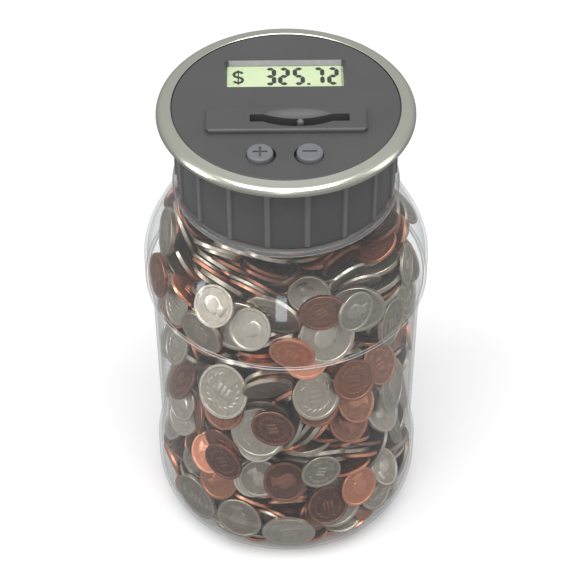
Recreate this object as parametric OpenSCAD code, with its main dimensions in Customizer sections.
// Digital coin counting jar: a clear screw-top jar of loose change. Its lid
// measures each coin as it drops and shows the running total on a display.
// Millimetres, +Z up. The origin is the centre of the base, where it stands.

/* [Jar] */
// Outer diameter of the shoulder band, the widest place
band_d = 120.4; // [116:0.2:126]
// How far the foot band is narrower than the shoulder band
foot_inset = 0.4; // [0:0.2:2]
// How far the waist is narrower than the shoulder band
waist_inset = 5.2; // [2:0.2:8]
// Wall thickness
jar_wall = 1.2; // [0.8:0.1:2]
// Radius of the rounded bottom edge
foot_round = 15; // [12:1:20]
// Height of the push-up in the middle of the base
push_up_h = 4; // [2:0.5:6]
// Height where the shoulder starts to curve in
shoulder_z = 142; // [138:1:144]
// Height of the top of the neck
rim_z = 206; // [205:0.5:206]

/* [Coins] */
// Height of the coins at the wall
heap_wall_z = 160; // [60:5:160]
// Height of the coins in the middle
heap_mid_z = 166; // [70:5:170]

/* [Lid] */
// Outer diameter of the skirt between its ribs
skirt_d = 88.8; // [87.6:0.2:89]
// Number of grip ribs round the skirt
rib_count = 18; // [6:2:32]
// Width of one rib at its crest
rib_w = 2.2; // [1.6:0.2:4]
// Height of a rib above the skirt
rib_h = 0.8; // [0.6:0.1:1.1]
// Outer diameter of the metallic ring
bezel_d = 102.8; // [98:0.2:106]
// Diameter of the top plate
plate_d = 90.4; // [86:0.2:90.4]
// Thickness of the top plate
plate_t = 3.3; // [2.8:0.1:3.4]

/* [Coin slot] */
// Length of the slot
slot_l = 38.8; // [32:0.2:40]
// Width of the slot
slot_w = 4.4; // [4.2:0.1:5]
// Distance of the slot's middle to the right of the lid's middle
slot_x = 5.2; // [0:0.2:6]
// Distance of the slot in front of the lid's middle
slot_y = 11; // [10:0.5:12]
// Length of the raised pad round the slot
pad_l = 63; // [56:1:66]
// Depth of the pad, front to back
pad_w = 14.3; // [12:0.1:16]
// Height of the pad above the plate
pad_h = 2.1; // [1.5:0.1:3.5]

/* [Display] */
// Length of the visible window
window_l = 46.8; // [40:0.2:48]
// Width of the visible window
window_w = 15.2; // [12:0.2:15.4]
// Distance of the window behind the lid's middle
window_y = 19.5; // [19:0.1:20]
// Width of the sloping frame round the window
bevel = 1; // [0.8:0.1:2]

/* [Buttons] */
// Diameter of a button cap
button_d = 10.2; // [8:0.1:10.4]
// Half the distance between the two buttons
button_x = 9.5; // [8:0.1:11]
// Distance of the pair's middle to the left of the lid's middle
button_shift = 0.8; // [0:0.1:2]
// Distance of the buttons in front of the lid's middle
button_y = 30.6; // [29:0.1:31.5]
// Height of a button above the plate
button_rise = 1.8; // [1.2:0.1:3]

/* [Screw thread] */
// Number of thread starts
thread_starts = 4; // [2:1:4]
// Rise of the lid in one whole turn
thread_lead = 16; // [16:1:20]
// Angle that each thread covers
thread_span = 150; // [90:10:170]

/* [Coin arm] */
// Distance from the pivot to the nose
arm_l = 25; // [24:0.5:25]
// Swing of the arm to each side of straight ahead
arm_half_swing = 16.5; // [12:0.5:17]

/* [Batteries] */
// Diameter of one AAA cell
cell_d = 10.5; // [10:0.1:10.5]
// Length of one AAA cell with its nub
cell_l = 44.5; // [43:0.5:44.5]

/* [Hidden] */
$fn = 96;
eps = 0.01;
gap = 0.3;

// Jar radii and heights
band_r = band_d / 2;
foot_r = band_r - foot_inset / 2;
waist_r = band_r - waist_inset / 2;
foot_top_z = 25.2;
waist_low_z = 36.8;
waist_high_z = 126;
crease_z = 131.2;
shoulder_pull = 11.6;
neck_pull = [49.8, 161.7];
throat_r = 46;
throat_z = 179.7;
bead_r = 46.4;
bead_low_z = 181.1;
bead_top_z = 183.5;
neck_r = 40.2;
neck_bore_r = 38.4;
stand_r = 34;
heap_gap = 0.4;

// Lid levels, from the bottom up
skirt_z = 183.7;
cup_z = 191;
floor_t = 1.6;
bay_top_z = 203.6;
bay_roof_z = 205;
arm_z = 206.6;
arm_t = 2;
cover_flange_z = 206.4;
cover_flange_t = 1.5;
ceiling_z = cover_flange_z + cover_flange_t;
ceiling_t = 2;
board_z = 211.2;
board_t = 1.6;
panel_t = 1.7;
rim_band_z = 213;
plate_z = 217;
plate_top_z = plate_z + plate_t;
pad_top_z = plate_top_z + pad_h;
lens_z = 218.2;
lens_t = 0.4;
panel_top_z = lens_z - lens_t;
window_corner = 0.9;

// Lid radii
skirt_r = skirt_d / 2;
skirt_bore_r = 42.2;
rim_band_r = 45.9;
ceiling_bore_r = 36.4;
cup_r = 36;
cup_wall = 1.6;
cover_flange_r = 41.9;
board_r = 39;
plate_r = plate_d / 2;
bezel_r = bezel_d / 2;

// Threads: depth over the root, and widths at root and crest
neck_crest_r = 41.7;
lid_crest_r = 40.9;
thread_root_w = 2;
thread_crest_w = 0.9;
thread_bite = 0.3;
neck_thread_z = 192;
lid_thread_z = neck_thread_z - thread_lead / thread_starts / 2;

// Fasteners: places of the cover screws and of the board screws
cover_screw_at = [[-22.3, -22.3], [22.3, -22.3], [0, 31.5]];
board_screw_at = [[-34, 0], [34, 0], [0, -22]];
screw_r = 1;
pilot_r = 1.05;
screw_hole_r = 1.2;
cover_boss_r = 2.75;
cover_boss_z = 204.4;
well_r = 3.4;
well_bore_r = 2.4;
well_web_t = 2;

// Chute
chute_l = slot_l + 0.4;
chute_w = slot_w + 0.2;
chute_wall = 1.2;
slit_l = 21;
slit_x = -1.6;

// Arm
pivot_at = [-1.6, 13.5];
pin_r = 1.5;
hub_r = 3.5;
hub_h = 3;
nose_r = 1.4;
nose_top_z = 221;

// Battery bay
cell_r = cell_d / 2;
cell_y = [4.2, 15];
cell_z = 198.2;
bay_half_l = 24.9;
bay_low_y = -1.2;
bay_high_y = 20.4;
bay_wall = 1.2;
contact_t = 0.4;
nub_l = 1;
door_lip = 0.4;
door_t = 1.5;
door_gap = 0.3;
tab_half_l = 5;
tab_y = -6.4;
door_screw_y = -4.1;
door_screw_head_r = 1.7;

// Buttons
button_hole_r = 5.75;
button_hole_x = button_x - 0.4;
button_flange_r = 6.3;
button_flange_z = 216;
button_flange_t = 0.8;

// ---------- outline helpers ----------

// Points along an arc about [x, y], from angle a to angle b
function arc(x, y, r, a, b, n) =
    [for (i = [0 : n]) let (t = a + (b - a) * i / n) [x + r * cos(t), y + r * sin(t)]];

// Points along a cubic curve from p0 to p3 with handles p1 and p2
function curve(p0, p1, p2, p3, n) =
    [for (i = [0 : n]) let (t = i / n, s = 1 - t)
        s * s * s * p0 + 3 * s * s * t * p1 + 3 * s * t * t * p2 + t * t * t * p3];

// Points that ease from radius r0 at height z0 to r1 at z1
function ease(r0, z0, r1, z1, n) =
    [for (i = [0 : n]) let (t = i / n) [r0 + (r1 - r0) * (1 - cos(180 * t)) / 2, z0 + (z1 - z0) * t]];

// Side of the jar from the middle of the base to the throat, moved inward by w
function jar_side(w) = concat(
    ease(0, push_up_h + w, stand_r, w, 8),
    arc(foot_r - foot_round, foot_round, foot_round - w, -90, 0, 10),
    ease(foot_r - w, foot_top_z, waist_r - w, waist_low_z, 8),
    [for (i = [0 : 5]) let (t = i / 5)
        [waist_r - w + (band_r - waist_r) * pow(t, 1.3), waist_high_z + (crease_z - waist_high_z) * t]],
    curve([band_r - w, shoulder_z], [band_r - w, shoulder_z + shoulder_pull],
          neck_pull - [1.2 * w, 0], [throat_r - w, throat_z], 16)
);

function reversed(list) = [for (i = [len(list) - 1 : -1 : 0]) list[i]];

// ---------- solid helpers ----------

// A box given by its lowest and highest corners
module block(low, high) {
    translate(low) cube(high - low);
}

// A tube along a list of points, with rings of n sides square to the mean direction
module tube(path, r, n) {
    last = len(path) - 1;
    rings = [for (i = [0 : last])
        let (ahead = path[min(i + 1, last)] - path[max(i - 1, 0)],
             w = ahead / norm(ahead),
             side = abs(w[2]) < 0.9 ? cross([0, 0, 1], w) : cross([0, 1, 0], w),
             u = side / norm(side),
             v = cross(w, u))
        for (k = [0 : n - 1]) path[i] + r * (cos(360 * k / n) * u + sin(360 * k / n) * v)];
    walls = [for (i = [0 : last - 1], k = [0 : n - 1])
        let (a = i * n + k, b = i * n + (k + 1) % n) each [[a, a + n, b + n], [a, b + n, b]]];
    first_cap = [[for (k = [0 : n - 1]) k]];
    last_cap = [[for (k = [n - 1 : -1 : 0]) last * n + k]];
    polyhedron(rings, concat(walls, first_cap, last_cap));
}

// One helical thread: root and crest radii, height and angle of its start
module thread_turn(root_r, crest_r, z) {
    steps = ceil(thread_span / 10);
    section = [[root_r, -thread_root_w / 2], [crest_r, -thread_crest_w / 2],
               [crest_r, thread_crest_w / 2], [root_r, thread_root_w / 2]];
    points = [for (i = [0 : steps])
        let (a = thread_span * i / steps)
        for (p = section)
            [p[0] * cos(a), p[0] * sin(a), z + p[1] + thread_lead * a / 360]];
    walls = [for (i = [0 : steps - 1], k = [0 : 3])
        let (a = i * 4 + k, b = i * 4 + (k + 1) % 4) each [[a, a + 4, b + 4], [a, b + 4, b]]];
    caps = [[0, 1, 2, 3], [for (k = [3 : -1 : 0]) steps * 4 + k]];
    outward = crest_r > root_r;
    faces = concat(walls, caps);
    polyhedron(points, outward ? [for (f = faces) reversed(f)] : faces);
}

// All the threads of one part
module threads(root_r, crest_r, z) {
    for (i = [0 : thread_starts - 1])
        rotate([0, 0, 360 * i / thread_starts]) thread_turn(root_r, crest_r, z);
}

// A pan-head screw pointing up, its head's seat at z, with a cross recess below
module screw(at, z, length, head_r, head_t) {
    recess_l = head_r * 1.2;
    recess_w = 0.6;
    recess_t = head_t * 0.6;
    translate([at[0], at[1], z]) difference() {
        union() {
            cylinder(r = screw_r, h = length);
            rotate_extrude() polygon(concat(
                [[0, 0], [head_r, 0]],
                arc(head_r - head_t * 0.7, -head_t * 0.3, head_t * 0.7, 0, -90, 5),
                [[0, -head_t]]));
        }
        for (a = [0, 90]) rotate([0, 0, a])
            translate([-recess_l / 2, -recess_w / 2, -head_t - eps])
                cube([recess_l, recess_w, recess_t + eps]);
    }
}

// A rectangle centred on the origin with round corners, as a sum of plain shapes
module round_rect(l, w, r) {
    square([l - 2 * r, w], center = true);
    square([l, w - 2 * r], center = true);
    for (x = [-1, 1], y = [-1, 1])
        translate([x * (l / 2 - r), y * (w / 2 - r)]) circle(r);
}

// A block whose sides slope out by b over its height h, centred in x and y
module sloped_block(l, w, b, h) {
    intersection() {
        translate([0, w, 0]) rotate([90, 0, 0]) linear_extrude(2 * w)
            polygon([[-l / 2, 0], [l / 2, 0], [l / 2 + b, h], [-l / 2 - b, h]]);
        rotate([90, 0, 90]) translate([0, 0, -l]) linear_extrude(2 * l)
            polygon([[-w / 2, 0], [w / 2, 0], [w / 2 + b, h], [-w / 2 - b, h]]);
    }
}

// ---------- jar ----------

module jar() {
    shelf_z = bead_top_z - 1.9;
    color([0.85, 0.9, 0.92, 0.35]) union() {
        rotate_extrude() polygon(concat(
            jar_side(0),
            [[bead_r - 0.7, bead_low_z - 0.3], [bead_r, bead_low_z + 0.4], [bead_r, bead_top_z - 0.4],
             [bead_r - 0.4, bead_top_z], [neck_r, bead_top_z], [neck_r, rim_z - 0.5],
             [neck_r - 0.5, rim_z], [neck_bore_r + 0.5, rim_z], [neck_bore_r, rim_z - 0.5],
             [neck_bore_r, shelf_z + 1.4], [neck_bore_r + 1.4, shelf_z], [neck_r + 2, shelf_z - 0.6]],
            reversed(jar_side(jar_wall))));
        threads(neck_r - thread_bite, neck_crest_r, neck_thread_z);
    }
}

// The loose coins, as one solid that stays clear of the wall
module coin_heap() {
    color("sienna") rotate_extrude() intersection() {
        polygon(concat(jar_side(jar_wall + heap_gap), [[0, throat_z]]));
        polygon([[0, 0], [band_r, 0], [band_r, heap_wall_z], [0, heap_mid_z]]);
    }
}

// ---------- lid, outside ----------

// Metallic trim ring: a nearly flat band with a round outer edge and a sleeve below
module bezel_ring() {
    inner_r = plate_r + 0.2;
    sleeve_r = rim_band_r + 0.2;
    sleeve_t = 1.2;
    sleeve_z = 214.2;
    seat_z = plate_z + 0.15;
    edge_r = 3;
    color([0.68, 0.69, 0.63]) rotate_extrude() polygon(concat(
        [[sleeve_r, sleeve_z], [sleeve_r + sleeve_t, sleeve_z], [sleeve_r + sleeve_t, 216.4],
         [bezel_r - 0.3, 216.8]],
        arc(bezel_r - edge_r, plate_z + 0.1, edge_r, 0, 90, 8),
        [[inner_r + 0.3, 220.5], [inner_r, 220.3], [inner_r, seat_z], [sleeve_r, seat_z]]));
}

// Skirt with grip ribs, inner thread and the ceiling ring that the cover seats against
module lid_shell() {
    rib_low_z = skirt_z + 1.2;
    rib_angle = 360 / rib_count;
    color([0.27, 0.27, 0.27]) union() {
        rotate_extrude() polygon([
            [skirt_bore_r + 0.4, skirt_z], [skirt_r - 0.5, skirt_z], [skirt_r, skirt_z + 0.5],
            [skirt_r, rim_band_z - 1], [rim_band_r, rim_band_z], [rim_band_r, plate_z],
            [skirt_bore_r, plate_z], [skirt_bore_r, ceiling_z + ceiling_t],
            [ceiling_bore_r, ceiling_z + ceiling_t], [ceiling_bore_r, ceiling_z],
            [skirt_bore_r, ceiling_z], [skirt_bore_r, skirt_z + 0.4]]);
        for (i = [0 : rib_count - 1]) rotate([0, 0, rib_angle * i])
            translate([0, 0, rib_low_z]) linear_extrude(rim_band_z - rib_low_z)
                polygon([[skirt_r - 0.6, -rib_w / 2 - 0.6], [skirt_r, -rib_w / 2 - 0.5],
                         [skirt_r + rib_h - 0.4, -rib_w / 2], [skirt_r + rib_h, -rib_w / 2 + 0.4],
                         [skirt_r + rib_h, rib_w / 2 - 0.4], [skirt_r + rib_h - 0.4, rib_w / 2],
                         [skirt_r, rib_w / 2 + 0.5], [skirt_r - 0.6, rib_w / 2 + 0.6]]);
        threads(skirt_bore_r + thread_bite, lid_crest_r, lid_thread_z);
    }
}

// Raised pad round the slot, rounded over its long and short edges
module slot_pad() {
    edge = 1.2;
    corner = 2.4;
    translate([0, -slot_y, plate_top_z]) intersection() {
        translate([0, 0, -1]) linear_extrude(pad_h + 2) round_rect(pad_l, pad_w, corner);
        rotate([90, 0, 0]) linear_extrude(pad_w + 2, center = true)
            translate([0, pad_h / 2 - 1]) round_rect(pad_l, pad_h + 2, edge);
        rotate([90, 0, 90]) linear_extrude(pad_l + 2, center = true)
            translate([0, pad_h / 2 - 1]) round_rect(pad_w, pad_h + 2, edge);
    }
}

// Finger scoop: a lens-shaped hollow across the middle of the slot
module slot_scoop() {
    bend_r = 41.5;
    lift = 4.3;
    depth = 2.75;
    half_angle = 22.5;
    left = 0.8;
    translate([slot_x - left, -slot_y, pad_top_z + lift]) rotate([0, 90, 0]) rotate_extrude()
        polygon(arc(lift + depth - bend_r, 0, bend_r, -half_angle, half_angle, 16));
}

module top_plate() {
    pocket_l = window_l + 3;
    pocket_w = window_w + 1.8;
    frame_corner = 2;
    bevel_z = lens_z + 0.1;
    board_boss_r = 2.5;
    color([0.25, 0.25, 0.25]) difference() {
        union() {
            rotate_extrude() polygon([[0, plate_z], [plate_r, plate_z], [plate_r, plate_top_z - 0.4],
                [plate_r - 0.4, plate_top_z], [0, plate_top_z]]);
            slot_pad();
            for (p = cover_screw_at) translate([p[0], p[1], cover_boss_z])
                cylinder(r = cover_boss_r, h = plate_z - cover_boss_z + 1);
            for (p = board_screw_at) translate([p[0], p[1], board_z + board_t])
                cylinder(r = board_boss_r, h = plate_z - board_z - board_t + 1);
        }
        for (p = concat(cover_screw_at, board_screw_at))
            translate([p[0], p[1], cover_boss_z - 1])
                cylinder(r = pilot_r, h = plate_z - cover_boss_z);
        translate([slot_x, -slot_y, plate_z + 3]) cube([slot_l, slot_w, 12], center = true);
        slot_scoop();
        translate([0, window_y, plate_z - 1])
            linear_extrude(plate_t + 2) round_rect(window_l, window_w, window_corner);
        translate([0, window_y, bevel_z]) intersection() {
            sloped_block(window_l, window_w, bevel * 1.5, (plate_top_z - bevel_z) * 1.5);
            linear_extrude(plate_t + 2)
                round_rect(window_l + 2 * bevel, window_w + 2 * bevel, frame_corner);
        }
        translate([-pocket_l / 2, window_y - pocket_w / 2, plate_z - 1])
            cube([pocket_l, pocket_w, panel_top_z - plate_z + 1]);
        for (x = [-1, 1]) translate([x * button_hole_x - button_shift, -button_y, plate_z - 1])
            cylinder(r = button_hole_r, h = plate_t + 2);
    }
}

// ---------- display ----------

// Clear cover sheet that fills the window opening, on the display glass
module lcd_window() {
    slack = 0.1;
    color([0.8, 0.9, 0.8, 0.4]) translate([0, window_y, panel_top_z]) linear_extrude(lens_t)
        round_rect(window_l - slack, window_w - slack, window_corner);
}

// Display glass, held in the pocket under the window
module lcd_panel() {
    margin = [2.8, 1.6];
    color([0.8, 0.88, 0.72]) translate([0, window_y, panel_top_z - panel_t / 2])
        cube([window_l + margin[0], window_w + margin[1], panel_t], center = true);
}

// Two rubber strips that join the glass to the board
module lcd_connectors() {
    strip_w = 2.2;
    strip_h = panel_top_z - panel_t - board_z - board_t;
    color("dimgray") for (y = [-1, 1])
        translate([-window_l / 2, window_y + y * 6.9 - strip_w / 2, board_z + board_t])
            cube([window_l, strip_w, strip_h]);
}

// ---------- electronics ----------

module circuit_board() {
    window_gap = 0.4;
    window = [chute_l + 2 * chute_wall + 2 * window_gap, chute_w + 2 * chute_wall + 2 * window_gap];
    color("darkgreen") translate([0, 0, board_z]) difference() {
        cylinder(r = board_r, h = board_t);
        translate([slot_x - window[0] / 2, -slot_y - window[1] / 2, -1]) cube([window[0], window[1], 4]);
        for (p = cover_screw_at) translate([p[0], p[1], -1]) cylinder(r = cover_boss_r + gap, h = 4);
        for (p = board_screw_at) translate([p[0], p[1], -1]) cylinder(r = screw_hole_r, h = 4);
    }
}

// Epoxy-covered chip
module board_chip() {
    color([0.08, 0.08, 0.08]) translate([-24, -1, board_z + board_t]) rotate_extrude()
        polygon(concat([[0, 0]], arc(0, -7, 8.6, 54.5, 90, 8)));
}

// Crystal, filter capacitors and a row of resistors
module board_parts() {
    top = board_z + board_t;
    color("silver") {
        translate([18, -1, top]) linear_extrude(1.6) round_rect(8, 3, 1.4);
        for (x = [-12, -8.5]) translate([x, 4, top]) cylinder(r = 1.5, h = 2);
        for (i = [0 : 5]) translate([-2 + 3 * i, 6.5, top]) cube([1.3, 2, 0.6]);
    }
}

module board_screws() {
    color("silver") for (p = board_screw_at) screw(p, board_z, 4.4, 2, 1.2);
}

// Two push switches under the buttons
module tact_switches() {
    body = 5.2;
    color([0.15, 0.15, 0.15]) for (x = [-1, 1])
        translate([x * button_x - button_shift, -button_y, board_z + board_t]) union() {
            translate([-body / 2, -body / 2, 0]) cube([body, body, 1.5]);
            cylinder(r = 1.3, h = 2.3);
        }
}

// Cap with a round edge, a flange that keeps it in, and bars engraved in its top
module button(side, bars) {
    r = button_d / 2;
    edge = 0.9;
    top = plate_top_z + button_rise;
    color([0.47, 0.48, 0.5]) translate([side * button_x - button_shift, -button_y, 0]) difference() {
        rotate_extrude() polygon(concat(
            [[0, button_flange_z], [button_flange_r, button_flange_z],
             [button_flange_r, button_flange_z + button_flange_t],
             [r, button_flange_z + button_flange_t]],
            arc(r - edge, top - edge, edge, 0, 90, 6),
            [[0, top]]));
        for (a = bars) rotate([0, 0, a])
            translate([0, 0, top]) cube([5.6, 0.9, 0.9], center = true);
    }
}

module plus_button() { button(-1, [0, 90]); }

module minus_button() { button(1, [0]); }

// ---------- coin path ----------

// Flat funnel that leads each coin down past the arm's nose
module coin_chute() {
    low_z = cup_z + floor_t;
    l = chute_l + 2 * chute_wall;
    w = chute_w + 2 * chute_wall;
    slit_low = arm_z - 0.7;
    slit_h = 4.4;
    color("gainsboro") difference() {
        translate([slot_x - l / 2, -slot_y - w / 2, low_z]) cube([l, w, plate_z - low_z]);
        translate([slot_x - chute_l / 2, -slot_y - chute_w / 2, low_z - 1])
            cube([chute_l, chute_w, plate_z - low_z + 2]);
        translate([slit_x - slit_l / 2, -slot_y + chute_w / 2 - 0.1, slit_low])
            cube([slit_l, chute_wall + 1, slit_h]);
    }
}

// Lever whose nose each coin pushes aside by its own width
module coin_arm() {
    nose_h = nose_top_z - nose_r - arm_z;
    reach = [arm_l * sin(arm_half_swing), -arm_l * cos(arm_half_swing)];
    color("whitesmoke") translate([pivot_at[0], pivot_at[1], arm_z]) difference() {
        union() {
            cylinder(r = hub_r, h = hub_h);
            rotate([0, 0, arm_half_swing]) linear_extrude(arm_t)
                polygon([[-hub_r, 0], [-nose_r, -arm_l], [nose_r, -arm_l], [hub_r, 0]]);
            translate([reach[0], reach[1], -0.4]) cylinder(r = nose_r, h = nose_h + 0.4);
            translate([reach[0], reach[1], nose_h]) sphere(nose_r);
        }
        translate([0, 0, -1]) cylinder(r = pin_r + 0.05, h = hub_h + 2);
    }
}

// Two-finger contact that slides under the board
module arm_wiper() {
    color("goldenrod") translate([pivot_at[0], pivot_at[1], arm_z + arm_t])
        rotate([0, 0, arm_half_swing]) union() {
            translate([-2.5, -9, 0]) cube([5, 4, 0.3]);
            for (x = [-2.5, 1]) {
                translate([x, -13, 1.9]) cube([1.5, 4.6, 0.3]);
                translate([x, -9, 0]) cube([1.5, 0.6, 2.2]);
            }
        }
}

module arm_pivot_pin() {
    color("silver") translate([pivot_at[0], pivot_at[1], bay_top_z]) union() {
        cylinder(r = pin_r, h = board_z - 0.4 - bay_top_z);
        translate([0, 0, board_z - 1 - bay_top_z]) cylinder(r = 2.6, h = 0.6);
    }
}

// Two coils round the pin, under the hub
module arm_spring() {
    turns = 2;
    steps = 16 * turns;
    wire_r = 0.25;
    path = [for (i = [0 : steps]) let (a = 360 * turns * i / steps)
        [pivot_at[0] + 2.3 * cos(a), pivot_at[1] + 2.3 * sin(a), bay_roof_z + 0.3 + 0.75 * i / steps]];
    color("silver") tube(path, wire_r, 6);
}

// ---------- inner cover and batteries ----------

// A post from the cover's floor with a deep hole for one long screw
module screw_well(p) {
    translate([p[0], p[1], cup_z]) cylinder(r = well_r, h = cover_boss_z - cup_z);
}

module screw_well_bore(p) {
    translate([p[0], p[1], cup_z - 1])
        cylinder(r = well_bore_r, h = cover_boss_z - well_web_t - cup_z + 1);
    translate([p[0], p[1], cup_z]) cylinder(r = screw_hole_r, h = cover_boss_z - cup_z + 1);
}

// Cup that closes the lid from below, with the battery bay and the chute's exit
module inner_cover() {
    flange_top = cover_flange_z + cover_flange_t;
    floor_top = cup_z + floor_t;
    color([0.3, 0.3, 0.3]) difference() {
        union() {
            rotate_extrude() polygon([
                [0, cup_z], [cup_r - 0.6, cup_z], [cup_r, cup_z + 0.6], [cup_r, cover_flange_z],
                [cover_flange_r, cover_flange_z], [cover_flange_r, flange_top],
                [cup_r - cup_wall, flange_top], [cup_r - cup_wall, floor_top], [0, floor_top]]);
            block([-bay_half_l - bay_wall, bay_low_y - bay_wall, cup_z],
                  [bay_half_l + bay_wall, bay_high_y + bay_wall, bay_roof_z]);
            block([-tab_half_l - 1, tab_y - door_gap - 0.5, cup_z],
                  [tab_half_l + 1, bay_low_y - bay_wall + 0.2, 199]);
            for (p = cover_screw_at) screw_well(p);
        }
        block([-bay_half_l, bay_low_y, cup_z - 1], [bay_half_l, bay_high_y, bay_top_z]);
        block([-bay_half_l - door_lip, bay_low_y - door_lip, cup_z - 1],
              [bay_half_l + door_lip, bay_high_y + door_lip, floor_top]);
        block([-tab_half_l - door_gap, tab_y - door_gap, cup_z - 1],
              [tab_half_l + door_gap, bay_low_y, floor_top]);
        translate([0, door_screw_y, cup_z]) cylinder(r = screw_r + 0.1, h = 7);
        translate([slot_x - chute_l / 2, -slot_y - chute_w / 2, cup_z - 1])
            cube([chute_l, chute_w, floor_t + 2]);
        translate([pivot_at[0], pivot_at[1], bay_top_z - 1]) cylinder(r = pin_r, h = 3);
        for (y = cell_y) block([-bay_half_l, y - 1.5, bay_top_z - 1],
                               [-bay_half_l + contact_t + 0.1, y + 1.5, bay_roof_z + 1]);
        for (p = cover_screw_at) screw_well_bore(p);
    }
}

module cover_screws() {
    color("silver") for (p = cover_screw_at) screw(p, cover_boss_z - well_web_t, 9, 2.1, 1.5);
}

// One AAA cell lying along x, its nub towards side
module cell(y, side) {
    body_l = cell_l - nub_l;
    start = side * (bay_half_l - contact_t);
    translate([start, y, cell_z]) rotate([0, -side * 90, 0]) union() {
        cylinder(r = 1.9, h = nub_l + 1);
        translate([0, 0, nub_l]) rotate_extrude() polygon([
            [0, 0], [cell_r - 0.5, 0], [cell_r, 0.5], [cell_r, body_l - 0.5],
            [cell_r - 0.5, body_l], [0, body_l]]);
    }
}

module battery_1() { color([0.2, 0.35, 0.3]) cell(cell_y[0], -1); }

module battery_2() { color([0.2, 0.35, 0.3]) cell(cell_y[1], 1); }

// End plates of the bay: two with solder tabs on the left, one bridge on the right
module battery_contacts() {
    x = bay_half_l;
    plate_low = 194;
    plate_high = 202.5;
    tab_top = 206.2;
    color("silver") {
        for (y = cell_y) union() {
            block([-x, y - 4, plate_low], [-x + contact_t, y + 4, plate_high]);
            block([-x, y - 1.2, plate_high - 1], [-x + contact_t, y + 1.2, tab_top]);
        }
        block([x - contact_t, cell_y[0] - 4, plate_low], [x, cell_y[1] + 4, plate_high]);
    }
}

// Coils that press each cell's flat end
module battery_springs() {
    turns = 4;
    steps = 12 * turns;
    wire_r = 0.25;
    room = 2 * (bay_half_l - contact_t) - cell_l;
    pull = room - 2 * wire_r;
    color("silver") for (k = [0, 1]) {
        side = k == 0 ? 1 : -1;
        start = side * (bay_half_l - contact_t - wire_r);
        tube([for (i = [0 : steps]) let (a = 360 * turns * i / steps, r = 3.2 - 1 * i / steps)
            [start - side * pull * i / steps, cell_y[k] + r * cos(a), cell_z + r * sin(a)]], wire_r, 5);
    }
}

// Wire from a contact's tab up to the board
module wire(tab_y, board_at) {
    r = 0.6;
    x = -bay_half_l - r;
    route = curve([x, tab_y, 205.4], [x, tab_y, 207.4], [board_at[0], board_at[1], 208],
                  [board_at[0], board_at[1], board_z - 0.6], 12);
    tube(concat(route, [[board_at[0], board_at[1], board_z]]), r, 8);
}

module red_wire() { color("firebrick") wire(cell_y[0], [-30, 2]); }

module black_wire() { color([0.1, 0.1, 0.1]) wire(cell_y[1], [-29, 12]); }

// Flush door with finger grooves and a tab for its screw
module battery_door() {
    low_y = bay_low_y - door_lip + door_gap;
    high_y = bay_high_y + door_lip - door_gap;
    half_l = bay_half_l + door_lip - door_gap;
    color([0.3, 0.3, 0.3]) difference() {
        union() {
            block([-half_l, low_y, cup_z], [half_l, high_y, cup_z + door_t]);
            block([-tab_half_l, tab_y, cup_z], [tab_half_l, low_y + 1, cup_z + door_t]);
        }
        translate([0, door_screw_y, cup_z - 1]) cylinder(r = screw_hole_r, h = door_t + 2);
        translate([0, door_screw_y, cup_z - 1]) cylinder(r = door_screw_head_r + 0.2, h = 2);
        for (i = [-3 : 3]) translate([-6, 9.6 + 1.8 * i - 0.4, cup_z - 1]) cube([12, 0.8, 1.5]);
    }
}

module door_screw() {
    color("silver") screw([0, door_screw_y], cup_z + 1, 5, door_screw_head_r, 0.9);
}

// ---------- assembly ----------

jar();
coin_heap();
bezel_ring();
lid_shell();
top_plate();
lcd_window();
lcd_panel();
lcd_connectors();
circuit_board();
board_chip();
board_parts();
board_screws();
tact_switches();
plus_button();
minus_button();
coin_chute();
coin_arm();
arm_wiper();
arm_pivot_pin();
arm_spring();
inner_cover();
cover_screws();
battery_1();
battery_2();
battery_contacts();
battery_springs();
red_wire();
black_wire();
battery_door();
door_screw();
